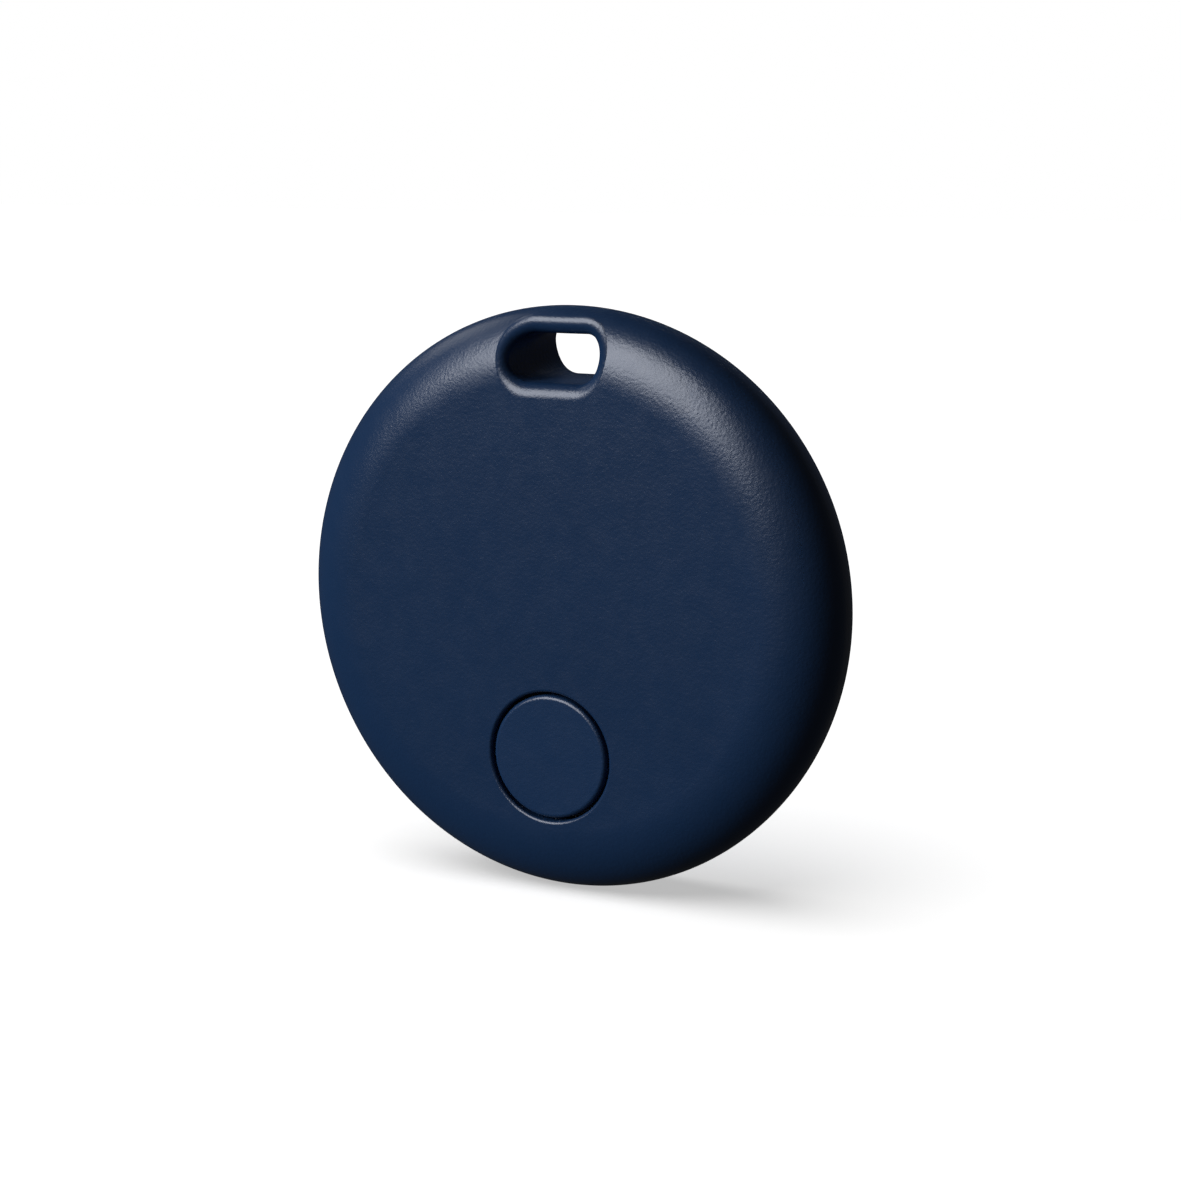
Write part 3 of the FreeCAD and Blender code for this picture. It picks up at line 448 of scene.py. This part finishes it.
def build_cover():
    """The rear cover's outside, edge and notch round the block, with the CAD's own inside."""
    cover = Moulding()
    edge_radius = float(rim_radius(COVER_LAND, REAR_FLAT, REAR))
    u_points, u_normals = block_outline(COVER_GAP, edge_radius)
    u_rows, u_row_normals = block_edge(u_points, u_normals, rear_y(*u_points.T) - COVER_LAND)
    right = math.atan2(u_points[0, 1], u_points[0, 0])
    pry = math.asin(PRY_HALF / edge_radius)
    sides = []
    for first, last in ((right, pry - TURN / 4), (-pry - TURN / 4, math.pi - right - TURN)):
        angles = np.linspace(first, last, SEGMENTS // 2)
        rows, row_normals = seam_rows(angles, SEAM_BREAK * fade(angles, 0.05), COVER_LAND, -1)
        cover.strip(rows, row_normals)
        sides.append(flat_points(rows[0]))
    pry_radius = float(rim_radius(PRY_Y, REAR_FLAT, REAR))
    reach = math.asin(PRY_HALF / pry_radius)
    pry_arc = arc(0, 0, pry_radius, reach - TURN / 4, -reach - TURN / 4, 24)[0]
    loop = np.concatenate([sides[0], pry_arc, sides[1], flat_points(u_rows[-1])[1:-1][::-1]])
    rings = ring_points(REAR_FLAT, COVER_RINGS)
    rings = clear_of(rings[inside_loop(rings, loop)], loop, SEAM_CLEAR)
    cover.sheet([loop], rings, lambda p: inside_loop(p, loop), rear_y, rear_normal)
    cover.strip(u_rows, u_row_normals)
    r = np.hypot(*u_points.T)
    foot = np.where(r > LIP_OUT, COVER_LAND, np.where(r > LIP_IN, LIP_END, COVER_INSIDE))
    cover.strip([u_rows[0], lifted(u_points, foot)], lifted(-u_normals, 0)[None])
    cover.carried("rear_cover", cover_inside)
    return cover.build("cover_moulding", "cover", "rear_cover")


def build_button():
    """The button: a face with a rounded edge, a retaining flange and a boss behind."""
    button = Moulding()
    high = Vector(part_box("button_cap")[1]) / MM
    corner = FACE + BUTTON_EDGE
    profile = [
        straight((0, FACE), (BUTTON_RADIUS - BUTTON_EDGE, FACE), 2, (0, -1)),
        arc(BUTTON_RADIUS - BUTTON_EDGE, corner, BUTTON_EDGE, -TURN / 4, 0, 10),
        straight((BUTTON_RADIUS, corner), (BUTTON_RADIUS, FLANGE_FRONT), 2, (1, 0)),
        straight((BUTTON_RADIUS, FLANGE_FRONT), (high.x, FLANGE_FRONT), 2, (0, -1)),
        straight((high.x, FLANGE_FRONT), (high.x, FLANGE_REAR), 2, (1, 0)),
        straight((high.x, FLANGE_REAR), (NIB_RADIUS, FLANGE_REAR), 2, (0, 1)),
        straight((NIB_RADIUS, FLANGE_REAR), (NIB_RADIUS, high.y), 2, (1, 0)),
        straight((NIB_RADIUS, high.y), (0, high.y), 2, (0, 1)),
    ]
    button.turned(profile, BUTTON_Z, HOLE_SEGMENTS)
    return button.build("button_moulding", "button", "button_cap")


# ---------- finishes ----------

SCRATCH, SPECK_RISE, WEAVE_RISE = 0.000004, 0.000006, 0.000006
NAVY = (0.0096, 0.0345, 0.098)
BUTTON_NAVY = tuple(c * 1.12 for c in NAVY)
GRAIN, GRAIN_RISE = 4400, 0.000019


class Finish:
    """A procedural material: its shader and short ways to drive it."""

    def __init__(self, name, colour, roughness, metallic=0.0, **sockets):
        self.material = bpy.data.materials.new(name)
        self.material.use_nodes = True
        self.tree = self.material.node_tree
        self.shader = self.tree.nodes["Principled BSDF"]
        self.shader.inputs["Base Color"].default_value = (*colour, 1)
        self.shader.inputs["Roughness"].default_value = roughness
        self.shader.inputs["Metallic"].default_value = metallic
        for socket, value in sockets.items():
            self.shader.inputs[socket.replace("_", " ")].default_value = value
        self.place = self.node("ShaderNodeTexCoord").outputs["Object"]

    def node(self, kind, **inputs):
        made = self.tree.nodes.new(kind)
        for key, value in inputs.items():
            made.inputs[key.replace("_", " ")].default_value = value
        return made

    def link(self, source, target):
        self.tree.links.new(source, target)

    def noise(self, scale, detail, stretch=None, roughness=0.5):
        texture = self.node("ShaderNodeTexNoise", Scale=scale, Detail=detail, Roughness=roughness)
        place = self.place
        if stretch:
            mapping = self.node("ShaderNodeMapping", Scale=stretch)
            self.link(place, mapping.inputs["Vector"])
            place = mapping.outputs["Vector"]
        self.link(place, texture.inputs["Vector"])
        return texture.outputs["Fac"]

    def ramp(self, value, low, high, start=0.3, end=0.7):
        """value from start to end, scaled to low to high."""
        scaled = self.node("ShaderNodeMapRange")
        limits = {"From Min": start, "From Max": end, "To Min": low, "To Max": high}
        for socket, number in limits.items():
            scaled.inputs[socket].default_value = number
        self.link(value, scaled.inputs["Value"])
        return scaled.outputs["Result"]

    def tint(self, share, colour):
        """Mixes colour over the base colour, by share."""
        base = self.shader.inputs["Base Color"]
        mix = self.tree.nodes.new("ShaderNodeMix")
        mix.data_type = "RGBA"
        first, second = (s for s in mix.inputs if s.type == "RGBA")
        first.default_value = base.default_value
        second.default_value = (*colour, 1)
        self.link(share, mix.inputs["Factor"])
        self.link(next(s for s in mix.outputs if s.type == "RGBA"), base)

    def rough(self, value):
        self.link(value, self.shader.inputs["Roughness"])

    def relief(self, height, distance):
        """Bumps the surface by height, in metres at its full range."""
        bump = self.node("ShaderNodeBump", Strength=1.0, Distance=distance)
        self.link(height, bump.inputs["Height"])
        self.link(bump.outputs["Normal"], self.shader.inputs["Normal"])


def moulded(name, colour, roughness, grain, height):
    """Plastic with a fine moulded grain."""
    made = Finish(name, colour, roughness, IOR=1.47)
    made.tint(made.ramp(made.noise(180, 4), 0.0, 0.2), tuple(c * 1.25 for c in colour))
    made.rough(made.ramp(made.noise(900, 3), roughness - 0.02, roughness + 0.03))
    made.relief(made.noise(grain, 2.0, roughness=0.6), height)
    return made


def sheet_metal(name, colour, roughness, stretch=(1, 1, 14)):
    """Rolled metal with fine lines along one direction and a slow tarnish."""
    made = Finish(name, colour, roughness, 1.0)
    lines = made.noise(2600, 3, stretch)
    made.tint(made.ramp(made.noise(260, 5), 0.0, 0.5), tuple(c * 0.72 for c in colour))
    made.rough(made.ramp(lines, roughness * 0.75, roughness * 1.35))
    made.relief(lines, SCRATCH)
    return made


def fired(name, colour, roughness, speck, specks=3800):
    """Ceramic or resin with small specks."""
    made = Finish(name, colour, roughness, IOR=1.55)
    made.tint(made.ramp(made.noise(specks, 2), 0.0, 0.6, 0.5, 0.75), speck)
    made.rough(made.ramp(made.noise(1200, 3), roughness - 0.06, roughness + 0.08))
    made.relief(made.noise(specks, 2), SPECK_RISE)
    return made


def laminate(name):
    """Board under a green mask, with a weave that just shows."""
    made = Finish(name, (0.010, 0.085, 0.045), 0.3, IOR=1.5)
    made.tint(made.ramp(made.noise(420, 2), 0.0, 0.5, 0.45, 0.6), (0.006, 0.05, 0.03))
    weave = made.noise(3000, 1, (1, 1, 0.2))
    made.rough(made.ramp(weave, 0.24, 0.4))
    made.relief(weave, WEAVE_RISE)
    return made


finishes = {
    "shell_plastic": moulded("shell_plastic", NAVY, 0.31, GRAIN, GRAIN_RISE),
    "cover_plastic": moulded("cover_plastic", NAVY, 0.33, GRAIN, GRAIN_RISE),
    "button_plastic": moulded("button_plastic", BUTTON_NAVY, 0.31, GRAIN, GRAIN_RISE),
    "switch_resin": fired("switch_resin", (0.02, 0.02, 0.022), 0.45, (0.05, 0.05, 0.05)),
    "steel_sheet": sheet_metal("steel_sheet", (0.58, 0.58, 0.57), 0.28),
    "plunger_plastic": fired("plunger_plastic", (0.55, 0.52, 0.46), 0.4, (0.42, 0.39, 0.34)),
    "tinned_copper": sheet_metal("tinned_copper", (0.72, 0.70, 0.66), 0.32),
    "board_laminate": laminate("board_laminate"),
    "chip_resin": fired("chip_resin", (0.018, 0.018, 0.02), 0.5, (0.05, 0.05, 0.052)),
    "crystal_can": sheet_metal("crystal_can", (0.66, 0.64, 0.58), 0.25),
    "sensor_resin": fired("sensor_resin", (0.03, 0.03, 0.032), 0.45, (0.07, 0.07, 0.07)),
    "antenna_ceramic": fired("antenna_ceramic", (0.55, 0.56, 0.52), 0.4, (0.7, 0.7, 0.66)),
    "ferrite": fired("ferrite", (0.04, 0.038, 0.036), 0.5, (0.09, 0.085, 0.08)),
    "capacitor_ceramic": fired("capacitor_ceramic", (0.32, 0.2, 0.1), 0.4, (0.4, 0.27, 0.15)),
    "resistor_ceramic": fired("resistor_ceramic", (0.03, 0.03, 0.033), 0.35, (0.06, 0.06, 0.065)),
    "adhesive_foam": fired("adhesive_foam", (0.05, 0.05, 0.05), 0.85, (0.12, 0.12, 0.12), 2200),
    "buzzer_brass": sheet_metal("buzzer_brass", (0.72, 0.52, 0.23), 0.3),
    "piezo_ceramic": fired("piezo_ceramic", (0.62, 0.6, 0.55), 0.45, (0.5, 0.48, 0.43)),
    "spring_bronze": sheet_metal("spring_bronze", (0.72, 0.55, 0.34), 0.28),
    "cradle_plastic": moulded("cradle_plastic", (0.02, 0.02, 0.022), 0.5, 3000, 0.00002),
    "screw_steel": sheet_metal("screw_steel", (0.5, 0.5, 0.5), 0.3),
    "contact_nickel": sheet_metal("contact_nickel", (0.70, 0.67, 0.60), 0.26),
    "cell_steel": sheet_metal("cell_steel", (0.66, 0.66, 0.66), 0.24, (14, 1, 1)),
    "cap_steel": sheet_metal("cap_steel", (0.66, 0.66, 0.66), 0.24, (14, 1, 1)),
    "gasket_nylon": fired("gasket_nylon", (0.5, 0.5, 0.48), 0.5, (0.6, 0.6, 0.58)),
    "cell_filling": fired("cell_filling", (0.05, 0.05, 0.052), 0.7, (0.1, 0.1, 0.1)),
}
slots = {part["node"]: part["material_slot"] for part in frame["record"]["subparts"]}


def dress(piece, slot):
    """Gives a piece the finish of one of the record's material slots."""
    piece.data.materials.clear()
    piece.data.materials.append(finishes[slot].material)


for node, piece in nodes.items():
    dress(piece, slots[node])
dress(build_shell(), "shell_plastic")
dress(build_cover(), "cover_plastic")
dress(build_button(), "button_plastic")


# ---------- floor, light and camera ----------

LAMP_DISTANCE = 0.6
FLOOR_HALF, FLOOR_GAP = 1.3, 0.00005
FLOOR_PALE, FLOOR_GLOW = (0.9, 0.9, 0.9), 0.48
SKY_SEEN, SKY_FELT = 1.0, 0.03


def direction(azimuth, elevation):
    """Unit vector from the object towards a viewer, azimuth 0 in front and rising to the right."""
    a, e = math.radians(azimuth), math.radians(elevation)
    return Vector((math.sin(a) * math.cos(e), -math.cos(a) * math.cos(e), math.sin(e)))


def lamp_at(light, azimuth, elevation, lit):
    """Hangs a light in a direction from the tag; it lights only the objects in lit."""
    lamp = bpy.data.objects.new(light.name, light)
    towards = direction(azimuth, elevation)
    lamp.location = towards * LAMP_DISTANCE
    lamp.rotation_euler = towards.to_track_quat("Z", "Y").to_euler()
    lamp.light_linking.receiver_collection = lit
    bpy.context.scene.collection.objects.link(lamp)
    return lamp


def softbox(name, azimuth, elevation, width, height, power, lit):
    """A rectangular soft light, in metres and watts."""
    light = bpy.data.lights.new(name, "AREA")
    light.shape = "RECTANGLE"
    light.size, light.size_y = width, height
    light.energy = power
    return lamp_at(light, azimuth, elevation, lit)


def overhead(name, azimuth, elevation, spread, power, lit):
    """A light from very far off, spread over a cone of so many degrees."""
    light = bpy.data.lights.new(name, "SUN")
    light.angle = math.radians(spread)
    light.energy = power
    lamp_at(light, azimuth, elevation, lit)


def lit_set(name, pieces):
    """A collection that a lamp can be limited to."""
    made = bpy.data.collections.new(name)
    for piece in pieces:
        made.objects.link(piece)
    return made


def studio_floor():
    """A pale sheet under the tag, which throws no light back on it, so its edges stay dark."""
    half, rest = FLOOR_HALF, -RADIUS * MM - FLOOR_GAP
    corners = [(-half, -half, rest), (half, -half, rest), (half, half, rest), (-half, half, rest)]
    mesh = bpy.data.meshes.new("floor")
    mesh.from_pydata(corners, [], [(0, 1, 2, 3)])
    floor = bpy.data.objects.new("floor", mesh)
    floor.visible_diffuse = False
    floor.visible_glossy = False
    paper = Finish("floor_paper", FLOOR_PALE, 0.9, Specular_IOR_Level=0.0)
    paper.shader.inputs["Emission Color"].default_value = (1, 1, 1, 1)
    paper.shader.inputs["Emission Strength"].default_value = FLOOR_GLOW
    mesh.materials.append(paper.material)
    bpy.context.scene.collection.objects.link(floor)
    return floor


def surround(seen, felt):
    """An even backdrop: as bright as seen to the camera, and as bright as felt to the tag."""
    world = bpy.data.worlds.new("surround")
    world.use_nodes = True
    tree = world.node_tree
    backdrop = tree.nodes["Background"]
    backdrop.inputs["Color"].default_value = (1, 1, 1, 1)
    rays = tree.nodes.new("ShaderNodeLightPath")
    strength = tree.nodes.new("ShaderNodeMapRange")
    strength.inputs["To Min"].default_value = felt
    strength.inputs["To Max"].default_value = seen
    tree.links.new(rays.outputs["Is Camera Ray"], strength.inputs["Value"])
    tree.links.new(strength.outputs["Result"], backdrop.inputs["Strength"])
    return world


scene = bpy.context.scene
scene.view_settings.view_transform = "Standard"
scene.view_settings.look = "None"
floor = studio_floor()
scene.world = surround(SKY_SEEN, SKY_FELT)
tag = [piece for piece in scene.objects if piece.type == "MESH" and piece != floor]
on_tag = lit_set("lit_tag", tag)
on_floor = lit_set("lit_floor", [floor])
key = softbox("key", -40, 22, 0.3, 0.3, 2.9, on_tag)
key.visible_glossy = False
band = softbox("band", -22, 37, 0.56, 0.46, 6.8, on_tag)
band.visible_diffuse = False
softbox("rim", -104, 38, 0.3, 0.2, 0.26, on_tag)
back = softbox("back", -158, 26, 0.4, 0.3, 3.2, on_tag)
back.visible_glossy = False
overhead("ceiling", -42, 67, 75, 2.35, on_floor)

VIEW, LENS, DISTANCE = (26.9, 10.35), 75.65, 0.1615
OFFSET = (-0.000861, -0.000462)
camera_data = bpy.data.cameras.new("camera")
camera_data.lens = LENS
camera_data.sensor_width = 36
camera_data.clip_start, camera_data.clip_end = 0.01, 20
camera = bpy.data.objects.new("camera", camera_data)
towards = direction(*VIEW)
across = Vector((math.cos(math.radians(VIEW[0])), math.sin(math.radians(VIEW[0])), 0))
upward = towards.cross(across)
camera.location = towards * DISTANCE - across * OFFSET[0] - upward * OFFSET[1]
camera.rotation_euler = towards.to_track_quat("Z", "Y").to_euler()
scene.collection.objects.link(camera)
scene.camera = camera
